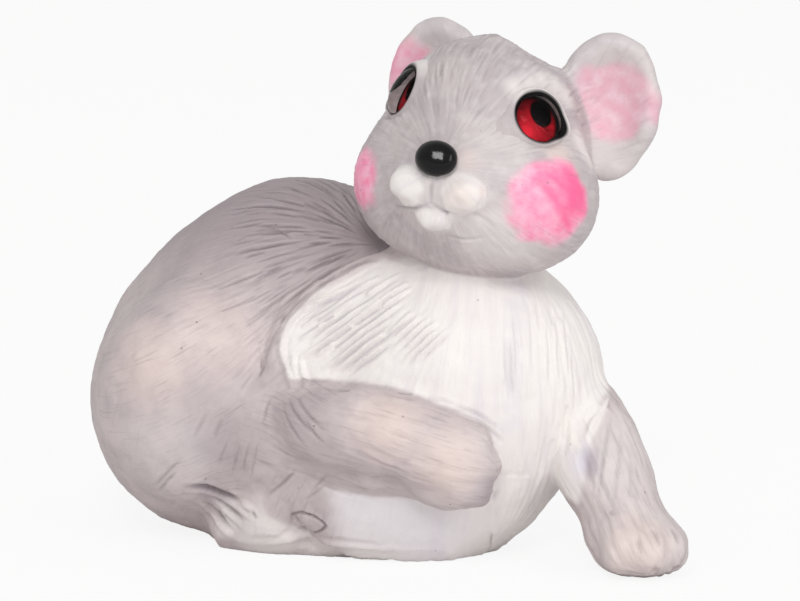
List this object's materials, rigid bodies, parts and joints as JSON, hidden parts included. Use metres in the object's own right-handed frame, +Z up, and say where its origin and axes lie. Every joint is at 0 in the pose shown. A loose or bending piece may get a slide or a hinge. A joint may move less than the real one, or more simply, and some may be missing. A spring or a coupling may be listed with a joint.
{
  "type": "animal figurine",
  "caption": "Small reclining furry animal figurine with round upright ears, red glass eyes, pink cheeks and a raised white bib, one arm laid across its belly and the other propping it up.",
  "frame": {"origin": "middle of the bounding box at table level", "axes": "+Z up, -Y the side the bib faces, +X towards the propping arm, so the rump is at -X"},
  "size_m": [0.03, 0.0224, 0.0263],
  "materials": {
    "grey_fur": "combed clay painted warm grey, darker in the grooves",
    "white_fur": "combed clay painted white",
    "pink_ear": "clay painted grey, blushed pink inside",
    "red_eye": "red paint with a black pupil",
    "clear_dome": "polished clear",
    "black_nose": "glossy black",
    "steel_wire": "drawn wire"
  },
  "bodies": {
    "root": {"body": "grey_fur", "chest_bib": "white_fur", "right_haunch": "grey_fur", "left_haunch": "grey_fur", "right_hind_foot": "grey_fur", "left_hind_foot": "grey_fur", "tail": "grey_fur", "right_arm": "grey_fur", "left_arm": "grey_fur", "neck_pin": "steel_wire", "head": "grey_fur", "right_ear": "pink_ear", "left_ear": "pink_ear", "right_eye_backing": "red_eye", "left_eye_backing": "red_eye", "right_eye_dome": "clear_dome", "left_eye_dome": "clear_dome", "right_eyelid": "white_fur", "left_eyelid": "white_fur", "nose": "black_nose", "right_muzzle_pad": "white_fur", "left_muzzle_pad": "white_fur", "chin": "white_fur"}
  },
  "joints": []
}
